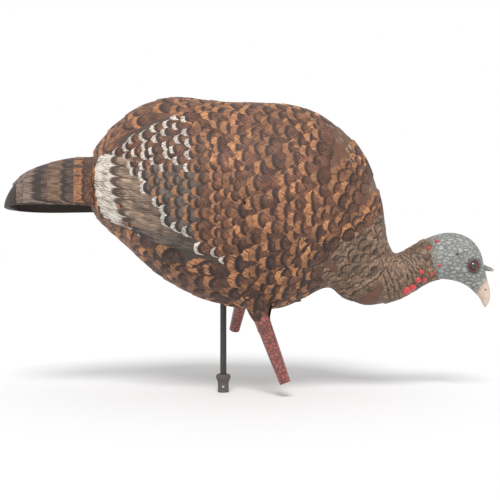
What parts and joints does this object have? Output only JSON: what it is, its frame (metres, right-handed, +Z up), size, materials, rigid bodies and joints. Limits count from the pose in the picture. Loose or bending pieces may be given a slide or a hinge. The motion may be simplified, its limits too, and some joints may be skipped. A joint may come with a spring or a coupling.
{
  "type": "turkey decoy",
  "caption": "Hollow feeding turkey-hen hunting decoy that turns freely on a ground stake and lifts off it, with bonded head, tail, wings and printed legs.",
  "frame": {"origin": "on the stake's axis at the ground line", "axes": "+X towards the bill, +Y to the bird's left, +Z up"},
  "size_m": [0.7321, 0.244, 0.6111],
  "materials": {
    "spike_steel": "turned and zinc-plated",
    "stake_composite": "pultruded glass-fibre tube, satin",
    "collar_nylon": "moulded nylon, matt",
    "swivel_acetal": "moulded acetal",
    "body_vinyl": "soft vinyl, moulded feather relief, painted",
    "wing_vinyl": "soft vinyl, moulded feather relief, painted",
    "tail_vinyl": "soft vinyl, moulded feather relief, painted",
    "head_vinyl": "soft vinyl, wrinkled skin relief, painted",
    "eye_resin": "cast resin, polished",
    "leg_print": "extruded tube, printed with scales",
    "inner_plastic": "moulded, plain",
    "valve_rubber": "moulded, matt"
  },
  "bodies": {
    "stake": {"ground_spike": "spike_steel", "stake_collar": "collar_nylon", "collar_pin": "spike_steel", "stake_tube": "stake_composite", "tip_plug": "collar_nylon"},
    "swivel": {"swivel_cap": "swivel_acetal"},
    "decoy": {"body_shell": "body_vinyl", "right_wing": "wing_vinyl", "left_wing": "wing_vinyl", "tail_fan": "tail_vinyl", "head_and_neck": "head_vinyl", "right_eye": "eye_resin", "left_eye": "eye_resin", "right_leg": "leg_print", "left_leg": "leg_print", "stake_sleeve": "inner_plastic", "pivot_pad": "swivel_acetal", "back_saddle": "inner_plastic", "valve_seat": "valve_rubber"},
    "valve": {"valve_plug": "valve_rubber"}
  },
  "joints": [
    {"name": "swivel", "type": "hinge", "parent": "stake", "child": "swivel", "pos_m": [0, 0, 0.4], "axis": [0, 0, 1], "continuous": true},
    {"name": "lift_off", "type": "slide", "parent": "swivel", "child": "decoy", "axis": [0, 0, 1], "range_m": [0, 0.3]},
    {"name": "valve_pull", "type": "slide", "parent": "decoy", "child": "valve", "axis": [0.1392, 0, -0.9903], "range_m": [0, 0.015]}
  ]
}
